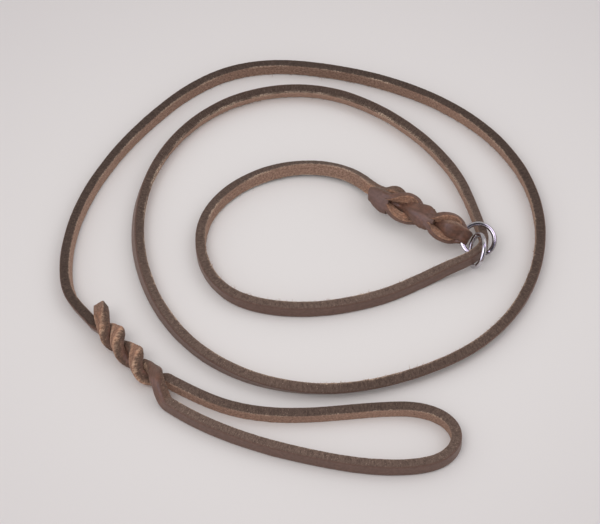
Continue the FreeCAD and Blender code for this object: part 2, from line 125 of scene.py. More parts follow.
# x, y round the noose to the ring braid
RUN_NOOSE = on_edge([
    42.075, -32.186, 39.747, -33.098, 37.403, -33.967, 35.044, -34.793, 32.67, -35.577,
    30.282, -36.316, 27.88, -37.011, 25.466, -37.659, 23.039, -38.259, 17.169, -39.499,
    11.244, -40.439, 5.277, -41.059, -0.716, -41.335, -6.714, -41.237, -12.692, -40.74,
    -18.62, -39.818, -24.461, -38.453, -30.158, -36.58, -35.602, -34.067, -40.617, -30.786,
    -44.99, -26.688, -48.67, -21.956, -51.714, -16.79, -54.128, -11.3, -55.908, -5.573,
    -57.06, 0.312, -57.599, 6.285, -57.52, 12.282, -56.777, 18.232, -55.318, 24.048,
    -53.167, 29.645, -50.383, 34.957, -47.033, 39.931, -43.184, 44.53, -38.896, 48.724,
    -34.228, 52.489, -29.227, 55.802, -23.942, 58.637, -18.416, 60.97, -12.695, 62.769,
    -6.825, 64.001, -0.861, 64.632, 5.136, 64.628, 11.093, 63.945, 16.922, 62.538,
    22.507, 60.361, 27.714, 57.391, 32.396, 53.649, 36.422, 49.209, 39.248, 45.007])
RUN = np.vstack([RUN_COIL, RUN_RAISED, RUN_NOOSE])
# length along the strap at each point of RUN; the points are closer near the rings
RUN_S = np.r_[np.arange(0, 1110, 6.0), np.arange(1110, 1260, 2.5), np.arange(1260, 1501, 6.0),
              1505.067]
# x, y of the hand loop, anticlockwise from above
LOOP = on_edge([
    -81.144, -98.45, -77.138, -102.239, -72.974, -105.854, -68.665, -109.296,
    -64.223, -112.564, -59.66, -115.661, -54.988, -118.589, -50.216, -121.354,
    -45.356, -123.96, -40.417, -126.414, -35.408, -128.721, -30.337, -130.889,
    -25.212, -132.923, -20.038, -134.831, -14.821, -136.62, -9.567, -138.297,
    -4.281, -139.868, 1.034, -141.34, 6.374, -142.719, 11.735, -144.012, 17.118, -145.211,
    22.528, -146.281, 27.968, -147.182, 33.439, -147.876, 38.935, -148.33, 44.446, -148.511,
    49.959, -148.396, 55.456, -147.962, 60.898, -147.084, 66.177, -145.509, 71.033, -142.922,
    74.986, -139.108, 77.569, -134.263, 78.321, -128.833, 77.064, -123.492, 74.125, -118.854,
    69.945, -115.281, 65.061, -112.739, 59.792, -111.132, 54.341, -110.324, 48.832, -110.106,
    43.32, -110.259, 37.817, -110.618, 32.324, -111.118, 26.842, -111.711, 21.363, -112.347,
    15.884, -112.975, 10.399, -113.543, 4.903, -114.001, -0.603, -114.299, -6.117, -114.396,
    -11.63, -114.27, -17.132, -113.899, -22.609, -113.256, -28.043, -112.319,
    -33.411, -111.061, -38.688, -109.459, -43.84, -107.497, -48.853, -105.199,
    -53.737, -102.639, -58.514, -99.884, -63.213, -96.997, -67.865, -94.035,
    -72.505, -91.055])

# Each of these is (lengths along the strap, values there).
# degrees the run leans off upright
LEAN = ([-20, 10, 40, 70, 100, 130, 190, 370, 400, 430, 460, 490, 520, 550, 580, 610, 640, 670,
         700, 730, 760, 790, 820, 850, 880, 910, 970, 1030, 1060, 1090, 1120, 1140, 1250, 1312,
         1334, 1356, 1401, 1423, 1450, 1480, 1520],
        [20, 20, 14, 9, 6, 2, 0, 0, -5, -8, -5, 0, 8, 20, 30, 36, 37, 36, 22, 8, -2, -10, -18,
         -20, -18, -20, -24, -22, -18, -12, -7, 0, 0, 0, 7, 2, 6, 9, 20, 27, 30])
LOOP_LEAN = ([0, 110, 150, 187, 205, 225, 263, 320, 345, 360],
             [0, 0, 0, -2, -6, -9, -9, -8, -4, 0])
# half thickness, slimmer where the strap passes through the rings
THICKNESS = ([1120, 1140, 1187, 1210], [HALF_THICK, 2.4, 2.4, HALF_THICK])
# share of the lift that keeps a leaning strap above the floor; none where the path is raised
FLOOR_LIFT = ([1120, 1140, 1240, 1250], [1, 0, 0, 1])
# lightness of the flesh side
NAP = ([0, 120, 180, 230, 300, 350, 380, 420, 520, 880, 940, 1100, 1350, 1400, 1520, 3300, 3440,
        3500, 3530, 3570, 3620, 3660],
       [1.26, 1.20, 1.15, 1.0, 0.92, 1.05, 1.20, 1.22, 1.1, 1.1, 1.25, 1.25, 1.1, 1.05, 0.98,
        1.05, 1.05, 1.12, 1.28, 1.18, 1.34, 1.34])
# painted light and shade on the cut edge: darker on the far arcs of the coil, lighter on the near ones
EDGE_PAINTED_SHADE = ([0, 200, 420, 480, 520, 580, 640, 690, 760, 810, 830, 880, 930, 1060, 1100, 1180, 1250,
         1310, 1360, 1400, 1450, 1490, 1520, 3300, 3440, 3480, 3520, 3600, 3650],
        [0.50, 0.46, 0.47, 0.52, 0.62, 0.83, 0.79, 1.05, 0.97, 0.80, 0.66, 0.66, 0.52, 0.61,
         0.68, 1.0, 1.05, 0.98, 0.82, 0.72, 0.68, 0.80, 0.9, 1.14, 1.02, 0.97, 0.67, 0.75, 0.92])
# how torn the rim of the flesh side is
FRAY = ([0, 500, 820, 860, 1080, 1130, 1500, 1900, 2300, 3000, 3660],
        [0.72, 0.72, 0.9, 1.3, 1.3, 0.9, 0.8, 0.65, 0.65, 0.62, 0.6])


# ---------------------------------------------------------------- geometry helpers
def unit(v):
    v = np.asarray(v, float)
    return v / (np.linalg.norm(v, axis=-1, keepdims=True) + 1e-12)


def metres(point):
    return tuple(float(x) * MM for x in point)


def chord(points):
    """Length along a polyline at each of its points."""
    return np.r_[0, np.cumsum(np.linalg.norm(np.diff(points, axis=0), axis=1))]


def spline(x, y, at):
    """Natural cubic spline through (x, y), sampled at `at`; y has one column per value."""
    n = len(x)
    gap = np.diff(x)
    matrix = np.zeros((n, n))
    target = np.zeros((n, y.shape[1]))
    matrix[0, 0] = matrix[-1, -1] = 1
    for i in range(1, n - 1):
        matrix[i, i - 1:i + 2] = gap[i - 1], 2 * (gap[i - 1] + gap[i]), gap[i]
        target[i] = 6 * ((y[i + 1] - y[i]) / gap[i] - (y[i] - y[i - 1]) / gap[i - 1])
    bend = np.linalg.solve(matrix, target)
    k = np.clip(np.searchsorted(x, at) - 1, 0, n - 2)
    t = (at - x[k])[:, None]
    span = gap[k][:, None]
    slope = (y[k + 1] - y[k]) / span - span * (2 * bend[k] + bend[k + 1]) / 6
    return y[k] + t * (slope + t * (bend[k] / 2 + t * (bend[k + 1] - bend[k]) / (6 * span)))


def lattice(i, j, k, seed):
    """Repeatable random value from 0 to 1 at a whole-number point."""
    n = (i.astype(np.int64) * 374761393 + j.astype(np.int64) * 668265263
         + k.astype(np.int64) * 2147483647 + seed * 1274126177) & 0xFFFFFFFF
    n = ((n ^ (n >> 13)) * 1274126177) & 0xFFFFFFFF
    n = (n ^ (n >> 16)) & 0xFFFFFFFF
    return n / 4294967295.0


def noise3(x, y, z, seed):
    """Smooth noise from -1 to 1."""
    x, y, z = np.broadcast_arrays(x, y, z)
    i, j, k = np.floor(x), np.floor(y), np.floor(z)
    fx, fy, fz = [f * f * (3 - 2 * f) for f in (x - i, y - j, z - k)]
    total = 0
    for a, b, c in itertools.product((0, 1), repeat=3):
        weight = (fx if a else 1 - fx) * (fy if b else 1 - fy) * (fz if c else 1 - fz)
        total = total + weight * lattice(i + a, j + b, k + c, seed)
    return total * 2 - 1


def bridge(first, second, count):
    """Quads between two closed loops of vertices, given by their first indices."""
    return [(first + j, first + (j + 1) % count, second + (j + 1) % count, second + j)
            for j in range(count)]


def recalculate_normals(mesh):
    """Turn the normals outwards and mark the sharp corners."""
    bm = bmesh.new()
    bm.from_mesh(mesh)
    bmesh.ops.recalc_face_normals(bm, faces=bm.faces)
    for edge in bm.edges:
        if len(edge.link_faces) == 2 and edge.calc_face_angle(0.0) > 0.95:
            edge.smooth = False
    bm.to_mesh(mesh)
    bm.free()
    mesh.update()


def link_object(name, data):
    ob = bpy.data.objects.new(name, data)
    bpy.context.scene.collection.objects.link(ob)
    return ob


def make_object(name, verts, faces, material, attributes, smooth=True):
    mesh = bpy.data.meshes.new(name)
    mesh.from_pydata((np.array(verts) * MM).tolist(), [], faces)
    mesh.update()
    for key, value in attributes.items():
        layer = mesh.attributes.new(key, "FLOAT", "POINT")
        layer.data.foreach_set("value", np.full(len(verts), value, np.float32))
    if smooth:
        mesh.polygons.foreach_set("use_smooth", [True] * len(mesh.polygons))
    ob = link_object(name, mesh)
    recalculate_normals(mesh)
    mesh.materials.append(material)
    return ob


# ---------------------------------------------------------------- materials
class Graph:
    """A node tree whose sockets take plain values or the outputs of other nodes."""

    def __init__(self, owner):
        owner.use_nodes = True
        self.tree = owner.node_tree
        self.tree.nodes.clear()

    def add(self, kind, inputs=None, output=0, **settings):
        """Adds a node and returns one of its outputs."""
        node = self.tree.nodes.new("ShaderNode" + kind)
        for key, value in settings.items():
            setattr(node, key, value)
        for key, value in (inputs or {}).items():
            socket = node.inputs[key]
            if isinstance(value, bpy.types.NodeSocket):
                self.tree.links.new(value, socket)
            elif socket.type == "RGBA":
                socket.default_value = (*value, 1)
            else:
                socket.default_value = value
        return node.outputs[output]

    def finish(self, kind, surface):
        node = self.tree.nodes.new("ShaderNode" + kind)
        self.tree.links.new(surface, node.inputs[0])

    def math(self, operation, a, b):
        return self.add("Math", {0: a, 1: b}, operation=operation)

    def remap(self, value, source, target=(0.0, 1.0)):
        return self.add("MapRange", {0: value, 1: source[0], 2: source[1],
                                     3: target[0], 4: target[1]})

    def ramp(self, value, stops):
        colour = self.add("ValToRGB", {"Fac": value})
        elements = colour.node.color_ramp.elements
        elements.remove(elements[1])
        elements[0].position = stops[0][0]
        for position, _ in stops[1:]:
            elements.new(position)
        for element, (_, rgb) in zip(elements, stops):
            element.color = (*rgb, 1)
        return colour

    def mix(self, share, a, b, blend="MIX"):
        return self.add("Mix", {0: share, 6: a, 7: b}, 2, data_type="RGBA", blend_type=blend)

    def mix_value(self, share, a, b):
        return self.add("Mix", {0: share, 2: a, 3: b}, data_type="FLOAT")


def new_material(name):
    material = bpy.data.materials.new(name)
    return material, Graph(material)


def scaled(colour, factor):
    return tuple(c * factor for c in colour)


GRAIN_DARK, GRAIN_MID, GRAIN_LIGHT = (0.100, 0.054, 0.041), (0.128, 0.070, 0.053), (0.160, 0.090, 0.069)
EDGE_DARK, EDGE_MID, EDGE_LIGHT = (0.075, 0.049, 0.040), (0.128, 0.086, 0.070), (0.190, 0.130, 0.105)
EDGE_FLECK = (0.30, 0.215, 0.165)
FLESH_DARK, FLESH_MID, FLESH_LIGHT = (0.140, 0.082, 0.060), (0.262, 0.162, 0.120), (0.41, 0.265, 0.205)
TORN_FIBRE = (0.56, 0.415, 0.315)


def leather_material():
    material, g = new_material("leather")
    kind, run, girth, tone, nap, warm, rim = [
        g.add("Attribute", output="Fac", attribute_name=key)
        for key in ("kind", "run", "girth", "tone", "nap", "warm", "rim")]

    def pattern(along, around, layer, detail=3.0, rough=0.55):
        """Noise on the strap's surface: its scale each way, and a layer that sets it apart."""
        place = g.add("CombineXYZ", {0: g.math("MULTIPLY", run, along),
                                     1: g.math("MULTIPLY", girth, around), 2: layer})
        return g.add("TexNoise", {"Scale": 1.0, "Detail": detail, "Roughness": rough,
                                  "Vector": place}, "Fac")

    def tint(colour, level):
        grey = g.add("CombineColor", {0: level, 1: level, 2: level})
        return g.mix(1.0, colour, grey, "MULTIPLY")

    # grain side: brown, faint mottling, small darker pores, lighter worn patches
    grain = g.ramp(pattern(0.55, 0.7, 1.0, detail=4),
                   [(0.3, GRAIN_DARK), (0.5, GRAIN_MID), (0.72, GRAIN_LIGHT)])
    pores = g.remap(pattern(3.6, 4.2, 5.0, detail=2, rough=0.5), (0.60, 0.72))
    grain = g.mix(pores, grain, scaled(GRAIN_DARK, 0.62))
    wear = g.remap(pattern(0.16, 0.35, 9.0, detail=2), (0.55, 0.75), (0.0, 0.35))
    grain = g.mix(wear, grain, scaled(GRAIN_LIGHT, 1.35))
    # cut edge: dark, with short pale flecks, dots and dark nicks
    edge = g.ramp(pattern(0.85, 0.28, 12.0, detail=5, rough=0.75),
                  [(0.34, EDGE_DARK), (0.50, EDGE_MID), (0.66, EDGE_LIGHT)])
    fleck = g.remap(pattern(2.1, 0.45, 17.0, detail=4, rough=0.7), (0.57, 0.66), (0.0, 0.75))
    edge = g.mix(fleck, edge, EDGE_FLECK)
    dots = g.remap(pattern(1.7, 1.5, 19.0, rough=0.6), (0.62, 0.68))
    edge = g.mix(dots, edge, scaled(EDGE_FLECK, 1.5))
    nick = g.remap(pattern(2.4, 0.40, 21.0, rough=0.6), (0.60, 0.68))
    # tone sets the cut edge's lightness; along the laid-out run it is painted light and shade
    edge = tint(g.mix(nick, edge, scaled(EDGE_DARK, 0.45)), tone)
    # flesh side: pale tan nap with lint and pits
    flesh = g.ramp(pattern(0.75, 0.9, 23.0, detail=6, rough=0.75),
                   [(0.34, FLESH_DARK), (0.5, FLESH_MID), (0.66, FLESH_LIGHT)])
    lint = g.remap(pattern(2.3, 1.1, 29.0, detail=4, rough=0.65), (0.60, 0.70))
    flesh = g.mix(lint, flesh, scaled(FLESH_LIGHT, 1.5))
    pit = g.remap(pattern(1.6, 1.8, 33.0, detail=4, rough=0.65), (0.60, 0.70))
    flesh = tint(g.mix(pit, flesh, scaled(FLESH_DARK, 0.55)), nap)
    # ragged border between the three
    ragged = g.math("ADD", kind, g.remap(pattern(1.8, 1.8, 31.0), (0.3, 0.7), (-0.22, 0.22)))
    colour = g.mix(g.remap(ragged, (0.50, 0.98)), grain, edge)
    colour = g.mix(g.remap(ragged, (1.25, 1.8)), colour, flesh)
    # pale torn fibres in patches where the cut edge meets the flesh side
    wavy = g.math("ADD", rim, g.remap(pattern(0.5, 0.1, 49.0, detail=4, rough=0.7),
                                      (0.3, 0.7), (-0.22, 0.22)))
    patches = g.remap(pattern(0.045, 0.0, 51.0, rough=0.6), (0.44, 0.58), (0.12, 1.0))
    strands = g.remap(pattern(1.1, 1.6, 53.0, detail=4, rough=0.7), (0.45, 0.55), (0.0, 0.95))
    fray = g.math("MULTIPLY", g.remap(wavy, (0.34, 0.55)), patches)
    colour = g.mix(g.math("MULTIPLY", fray, strands), colour, TORN_FIBRE)
    # worked leather in the braids: redder, and blotched dark and light by handling
    hue = g.ramp(pattern(0.30, 0.42, 47.0, rough=0.6),
                 [(0.34, (0.80, 0.73, 0.67)), (0.50, (1.07, 0.96, 0.88)),
                  (0.66, (1.36, 1.13, 0.97))])
    worked = g.mix(1.0, colour, hue, "MULTIPLY")
    colour = g.mix(g.remap(warm, (0.05, 0.3), (0.0, 0.85)), colour, worked)
    # the grain has a slight sheen, more where worked; the raw leather has none
    sheen = g.math("SUBTRACT", g.remap(pattern(0.9, 0.9, 37.0), (0.3, 0.7), (0.40, 0.56)),
                   g.remap(warm, (0.05, 0.5), (0.0, 0.12)))
    # fine relief on top of the modelled relief
    height = g.mix_value(g.remap(ragged, (0.3, 1.2)),
                         pattern(4.5, 4.5, 41.0, detail=4, rough=0.5),
                         pattern(4.2, 1.5, 43.0, detail=5, rough=0.75))
    g.finish("OutputMaterial", g.add("BsdfPrincipled", {
        "Base Color": colour,
        "Roughness": g.mix_value(g.remap(ragged, (0.25, 0.9)), sheen, 0.88),
        "Specular IOR Level": g.remap(ragged, (0.2, 1.1), (0.42, 0.12)),
        "Sheen Weight": 0.18,
        "Sheen Roughness": 0.5,
        "Sheen Tint": (0.75, 0.60, 0.50),
        "Normal": g.add("Bump", {"Strength": 0.35, "Distance": 0.00012, "Height": height})}))
    return material


def metal_material():
    material, g = new_material("ring_metal")
    place = g.add("TexCoord", output="Object")
    cloud = g.add("TexNoise", {"Scale": 420, "Detail": 3, "Vector": place}, "Fac")
    speckle = g.add("TexNoise", {"Scale": 1500, "Vector": place}, "Fac")
    g.finish("OutputMaterial", g.add("BsdfPrincipled", {
        "Base Color": g.ramp(cloud, [(0.3, (0.46, 0.44, 0.46)), (0.7, (0.62, 0.60, 0.63))]),
        "Metallic": 1.0,
        "Roughness": g.remap(cloud, (0.3, 0.7), (0.10, 0.22)),
        "Normal": g.add("Bump", {"Strength": 0.06, "Distance": 0.0001, "Height": speckle})}))
    return material


LEATHER = leather_material()
METAL = metal_material()


# ---------------------------------------------------------------- the strap's section
def outline(half_width, grain_round=0.85, flesh_round=0.55):
    """Closed section. Returns p across the thickness (grain at +), q across the width, and
    kind: 0 on the grain, 1 on a cut edge, 2 on the flesh side."""
    points = []
    flat_count, edge_count, corner_count = 9, 8, 5

    def line(p0, q0, p1, q1, count, kind):
        for i in range(count):
            t = i / count
            points.append((p0 + (p1 - p0) * t, q0 + (q1 - q0) * t, kind))

    def corner(p0, q0, radius, start, kind0, kind1):
        for i in range(corner_count):
            t = i / corner_count
            angle = math.radians(start + 90 * t)
            points.append((p0 + radius * math.cos(angle), q0 + radius * math.sin(angle),
                           kind0 + (kind1 - kind0) * t))

    grain_p, grain_q = HALF_THICK - grain_round, half_width - grain_round
    flesh_p, flesh_q = -HALF_THICK + flesh_round, half_width - flesh_round
    line(HALF_THICK, -grain_q, HALF_THICK, grain_q, flat_count, 0)
    corner(grain_p, grain_q, grain_round, 0, 0, 1)
    line(grain_p, half_width, flesh_p, half_width, edge_count, 1)
    corner(flesh_p, flesh_q, flesh_round, 90, 1, 2)
    line(-HALF_THICK, flesh_q, -HALF_THICK, -flesh_q, flat_count, 2)
    corner(flesh_p, -flesh_q, flesh_round, 180, 2, 1)
    line(flesh_p, -half_width, grain_p, -half_width, edge_count, 1)
    corner(grain_p, -grain_q, grain_round, 270, 1, 0)
    return np.array(points).T


def relief(run, kind, turn, seed, rough):
    """Height of the leather's texture; turn is the angle round the section."""
    x, y = np.cos(turn) * 2.2, np.sin(turn) * 2.2

    def lumps(height, length, scale, layer):
        return height * noise3(run / length, x * scale, y * scale, seed + layer)

    # grain: calm, with shallow pebbling and a few soft creases
    grain = np.clip(1 - kind, 0, 1) * (
        lumps(0.030, 1.6, 1.6, 0) + lumps(0.05, 7.0, 0.6, 1) + lumps(0.018, 0.75, 4.0, 6))
    # cut edge: short transverse fibres
    edge = np.clip(1 - np.abs(kind - 1), 0, 1) * (
        lumps(0.075, 0.62, 0.5, 2) + lumps(0.05, 1.5, 1.5, 3) + lumps(0.05, 0.9, 3.0, 7))
    # flesh side: soft nap
    flesh = np.clip(kind - 1, 0, 1) * (lumps(0.085, 0.9, 2.2, 4) + lumps(0.09, 2.6, 1.0, 5))
    return (grain + edge + flesh) * rough + lumps(0.10, 14.0, 0.3, 8)


def ribbon(name, band, along, body, seed, rough=1.0, crown=0.0, slit=0, rub=0.45,
           looked_up=False):
    """Closed leather strip through a band: a dict with, per ring, centre, grain (unit, towards
    the grain side), width (unit, across the strap), half_width, half_thick, soft (how rounded
    and worked), tone and nap. rough scales the relief and crown drops the long edges; slit
    (+1 or -1) makes that edge a raw slit face; rub lightens the flesh side's rim.
    looked_up takes tone and nap from the tables along the strap instead of the band."""
    rings = len(along)
    soft = band["soft"][:, None]
    mid_width = float(np.median(band["half_width"]))
    p, q, kind = outline(mid_width)
    worn_round = min(2.3, mid_width * 0.66)
    p_worn, q_worn, _ = outline(mid_width, worn_round, worn_round)
    if slit:
        kind = np.where((q * slit > mid_width * 0.55) & (kind > 0.3), 1.75, kind)
    sides = len(p)
    girth = np.r_[0, np.cumsum(np.hypot(np.diff(np.r_[p, p[0]]), np.diff(np.r_[q, q[0]])))]
    around = girth[:-1]
    deep = (p * (1 - soft) + p_worn * soft) * (band["half_thick"] / HALF_THICK)[:, None]
    deep = deep - crown * (q / mid_width) ** 2
    wide = (q * (1 - soft) + q_worn * soft) * (band["half_width"] / mid_width)[:, None]
    grain, width = band["grain"][:, None, :], band["width"][:, None, :]
    # outward direction of each point of the section
    dp = np.roll(p, -1) - np.roll(p, 1)
    dq = np.roll(q, -1) - np.roll(q, 1)
    length = np.hypot(dp, dq) + 1e-9
    outward = grain * (dq / length)[:, None] + width * (-dp / length)[:, None]
    bumps = relief(along[:, None], kind, around / girth[-1] * 2 * np.pi, seed, rough)
    skin = band["centre"][:, None, :] + grain * deep[..., None] + width * wide[..., None]
    skin = skin + outward * bumps[..., None]

    verts = [skin.reshape(-1, 3)]
    runs = [np.repeat(along, sides)]
    girths = [np.tile(around, rings)]
    faces = []
    for i in range(rings - 1):
        faces += bridge(i * sides, (i + 1) * sides, sides)
    # each cut end: two smaller rings and a centre point, so the cut face is a real surface
    total = rings * sides
    for end, index in enumerate((0, rings - 1)):
        middle = skin[index].mean(axis=0)
        axis = unit(np.cross(band["grain"][index], band["width"][index]))
        outer = index * sides
        cap = []
        for share in (0.62, 0.28):
            dent = 0.05 * noise3(np.arange(sides) * 0.7, share * 9.0, end + seed * 1.3, seed)
            verts.append(middle + (skin[index] - middle) * share + dent[:, None] * axis)
            runs.append(np.full(sides, along[index] + share))
            girths.append(around)
            cap += bridge(outer, total, sides)
            outer = total
            total += sides
        verts.append(middle[None])
        runs.append([along[index]])
        girths.append([0.0])
        cap += [(outer + j, outer + (j + 1) % sides, total) for j in range(sides)]
        total += 1
        faces += [face[::-1] for face in cap] if end == 0 else cap

    run = np.concatenate(runs)
    cap_count = total - rings * sides
    kinds = np.r_[np.tile(kind, rings), np.full(cap_count, 1.35)]
    rim = np.exp(-np.hypot(p + HALF_THICK, np.abs(q) - mid_width) / 1.1)
    rim = np.r_[np.tile(rim, rings), np.zeros(cap_count)] * np.interp(run, *FRAY)
    share = np.clip((run - along[0]) / (along[-1] - along[0]), 0, 1)

    def spread(key):
        return np.interp(share, np.linspace(0, 1, rings), band[key])

    warm = spread("soft")
    # with looked_up, tone is painted light and shade on the cut edge, from the table along the strap
    tone = np.interp(run, *EDGE_PAINTED_SHADE) if looked_up else spread("tone")
    nap = np.interp(run, *NAP) if looked_up else spread("nap")
    nap = nap * (1 + rub * warm * np.exp(-((kinds - 1.62) / 0.3) ** 2))
    ob = make_object(name, np.vstack(verts), faces, LEATHER, dict(
        kind=kinds, run=run, girth=np.concatenate(girths), tone=tone, nap=nap, warm=warm,
        rim=rim))
    if body:
        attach(ob, body)
    return ob


# ---------------------------------------------------------------- the laid-out run
def centre_and_travel(stations, points, at):
    """Points of a path and its unit direction of travel."""
    ahead, behind = spline(stations, points, at + 0.05), spline(stations, points, at - 0.05)
    return spline(stations, points, at), unit(ahead - behind)


def even_steps(start, end, step):
    return np.linspace(start, end, max(3, int(round((end - start) / step)) + 1))


def leaned(grain, width, degrees):
    lean = np.radians(degrees)[:, None]
    return (grain * np.cos(lean) - width * np.sin(lean),
            width * np.cos(lean) + grain * np.sin(lean))


def run_frames(start, end, step):
    """Stations, centre, grain, width, travel, and the lift that keeps the lowest corner of a
    leaning strap on the floor."""
    s = even_steps(start, end, step)
    centre, travel = centre_and_travel(RUN_S, RUN, s)
    grain = unit(np.cross(Z, travel))          # the grain side is left of travel
    grain, width = leaned(grain, np.cross(travel, grain), np.interp(s, *LEAN))
    lift = np.abs(width[:, 2]) * HALF_WIDTH + np.abs(grain[:, 2]) * HALF_THICK - HALF_WIDTH
    return s, centre, grain, width, travel, np.maximum(lift, 0)


def plain_band(s, centre, grain, width, half_thick):
    return dict(centre=centre, grain=grain, width=width, half_width=np.full(len(s), HALF_WIDTH),
                half_thick=half_thick, soft=np.zeros(len(s)), tone=np.interp(s, *EDGE_PAINTED_SHADE),
                nap=np.interp(s, *NAP))


def run_band(start, end, step=2.5):
    s, centre, grain, width, _, lift = run_frames(start, end, step)
    centre = centre + Z * lift[:, None] * np.interp(s, *FLOOR_LIFT)[:, None]
    return s, plain_band(s, centre, grain, width, np.interp(s, *THICKNESS))


def blend_at(ob, first, second, station):
    ends = spline(RUN_S, RUN, np.array([station - BLEND_REACH, station + BLEND_REACH]))
    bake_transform(ob)


RUN_SEED = 3
LEAD_CUT, NOOSE_CUT = 105.0, 1126.0     # where the run meets the hand braid's lead and the noose
HAND_BEND = 60.61
# name, start, end, bodies (a piece with no bend is attached to its one body; a bent piece to none),
# station of the bend between them, CAD pieces it replaces
RUN_PIECES = [
    ("lead_side_bend", LEAD_CUT, 205.0, ("lead_side", "lead_outer"), 150.56,
     ["lead_left_upper"]),
    ("lead_outer", 205.0, 690.0, ("lead_outer",), None,
     ["lead_top", "lead_right", "lead_bottom"]),
    ("lead_low_bend", 690.0, 788.0, ("lead_outer", "coil_start"), 756.26, []),
    ("coil_start_bend", 788.0, 872.0, ("coil_start", "coil"), 820.07, ["coil_left"]),
    ("coil_run", 872.0, 1050.0, ("coil",), None, ["coil_top", "coil_right"]),
    ("noose_entry_bend", 1050.0, NOOSE_CUT, ("coil", "noose"), 1093.89, ["noose_entry"]),
]
for name, start, end, bodies, bend, _ in RUN_PIECES:
    stations, band = run_band(start, end, STEP)
    piece = ribbon(name, band, stations, None, RUN_SEED, looked_up=True)
    if bend is None:
        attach(piece, *bodies)
    else:
        blend_at(piece, *bodies, bend)


# ---------------------------------------------------------------- bands given by a few stations
def join(*bands):
    return {key: np.concatenate([band[key] for band in bands]) for key in bands[0]}


def reverse(band):
    return {key: values[::-1] for key, values in band.items()}


def braid_band(frame_of, rows, soft=0.45, tone=0.9, nap=0.95):
    """Band from rows in a braid's frame (axes out, up, along). Columns: place along, out, up;
    grain direction out, up, along; half width, half thickness."""
    rows = np.array(rows, float)
    origin, out, up, axis = frame_of(rows[:, 0])
    grain_out, grain_up = rows[:, 3:4], rows[:, 4:5]
    width = -out * grain_up + up * grain_out
    lengthwise = (np.abs(grain_out) + np.abs(grain_up) < 0.5)[:, 0]
    width[lengthwise] = up[lengthwise]
    count = len(rows)
    return dict(centre=origin + out * rows[:, 1:2] + up * rows[:, 2:3],
                grain=out * grain_out + up * grain_up + axis * rows[:, 5:6], width=width,
                half_width=rows[:, 6], half_thick=rows[:, 7], soft=np.full(count, soft),
                tone=np.full(count, tone), nap=np.full(count, nap))


GRAIN_SMOOTHING = 3.0       # length over which the grain direction is evened out


def sweep(name, band, along_start, body, seed, **look):
    """Resample a band of a few stations densely and build its ribbon."""
    at = chord(band["centre"])
    fine = np.linspace(0, at[-1], max(8, int(at[-1] / STEP) + 1))
    centre = spline(at, band["centre"], fine)
    travel = unit(spline(at, band["centre"], np.minimum(fine + 0.05, at[-1]))
                  - spline(at, band["centre"], np.maximum(fine - 0.05, 0)))

    def resampled(vectors):
        return np.stack([np.interp(fine, at, vectors[:, k]) for k in range(3)], 1)

    kernel = np.hanning((int(GRAIN_SMOOTHING / STEP) | 1) + 2)
    kernel /= kernel.sum()
    pad = len(kernel) // 2
    padded = np.pad(resampled(band["grain"]), ((pad, pad), (0, 0)), mode="edge")
    grain = np.stack([np.convolve(padded[:, k], kernel, "valid") for k in range(3)], 1)
    grain = unit(grain - travel * np.sum(grain * travel, 1)[:, None])
    width = np.cross(travel, grain)
    side = np.sign(np.sum(width * resampled(band["width"]))) or 1.0
    rest = {key: np.interp(fine, at, band[key])
            for key in ("half_width", "half_thick", "soft", "tone", "nap")}
    band = dict(centre=centre, grain=grain, width=unit(width) * side, **rest)
    return ribbon(name, band, along_start + fine, body, seed, **look)


# ---------------------------------------------------------------- ring braid: two mutual slits
RING_LOW = np.array([38.89999, 37.42181, 7.1])
RING_HIGH = np.array([78.12367, 10.69377, 9.6])
RING_AXIS = unit(RING_HIGH - RING_LOW)
RING_UP = unit(Z - RING_AXIS * RING_AXIS[2])
RING_OUT = np.cross(RING_AXIS, RING_UP)     # level, towards -x and -y
# the whole braid is lifted up and away from RING_OUT
LIFT_TILT = 0.75
LIFT_DIRECTION = -RING_OUT * math.sin(LIFT_TILT) + RING_UP * math.cos(LIFT_TILT)
# (places along the braid, values there): twist in degrees of "out" towards "up", and lift
RING_TWIST = ([-30, -14, -4, 5, 25, 45, 57, 70], [12, 26, 33, 38, 45, 54, 61.5, 61.5])
RING_LIFT = ([-20, -6, 0, 12, 40, 60], [0, 1.5, 3.2, 3.2, 2.1, 1.6])


def ring_frame(at):
    twist = np.radians(np.interp(at, *RING_TWIST))[:, None]
    out = RING_OUT * np.cos(twist) + RING_UP * np.sin(twist)
    up = -RING_OUT * np.sin(twist) + RING_UP * np.cos(twist)
    lift = LIFT_DIRECTION * np.interp(at, *RING_LIFT)[:, None]
    return RING_LOW + RING_AXIS * at[:, None] + lift, out, up, RING_AXIS


def ring_piece(name, rows, along_start, seed, soft, tone, nap=0.95, **look):
    band = braid_band(ring_frame, rows, soft, tone, nap)
    return sweep(name, band, along_start, "noose", seed, **look)


# half of the strap where it is slit: place past the slit's start, out, up, roll in degrees
UPPER_HALF = [
    (-6.0, 2.5, 1.85, 0), (-1.5, 2.9, 2.0, 8), (1.5, 3.1, 3.0, 26), (4.0, 3.0, 4.3, 42),
    (7.0, 2.3, 5.5, 54), (9.5, 1.2, 5.9, 58), (12.0, -0.3, 5.4, 52), (14.5, -1.8, 4.0, 34),
    (17.5, -2.9, 2.6, 14), (20.5, -3.2, 2.0, 0)]
LOWER_HALF = [      # up is measured downwards here
    (-5.0, 2.5, 2.6, 0), (-1.0, 2.8, 3.6, 10), (2.0, 3.1, 4.7, 30), (5.0, 3.0, 5.5, 42),
    (8.0, 2.2, 5.8, 50), (10.5, 0.9, 5.6, 52), (13.0, -0.9, 4.9, 46), (15.5, -2.4, 3.8, 32),
    (18.5, -3.1, 2.8, 14), (21.5, -3.3, 2.0, 0)]


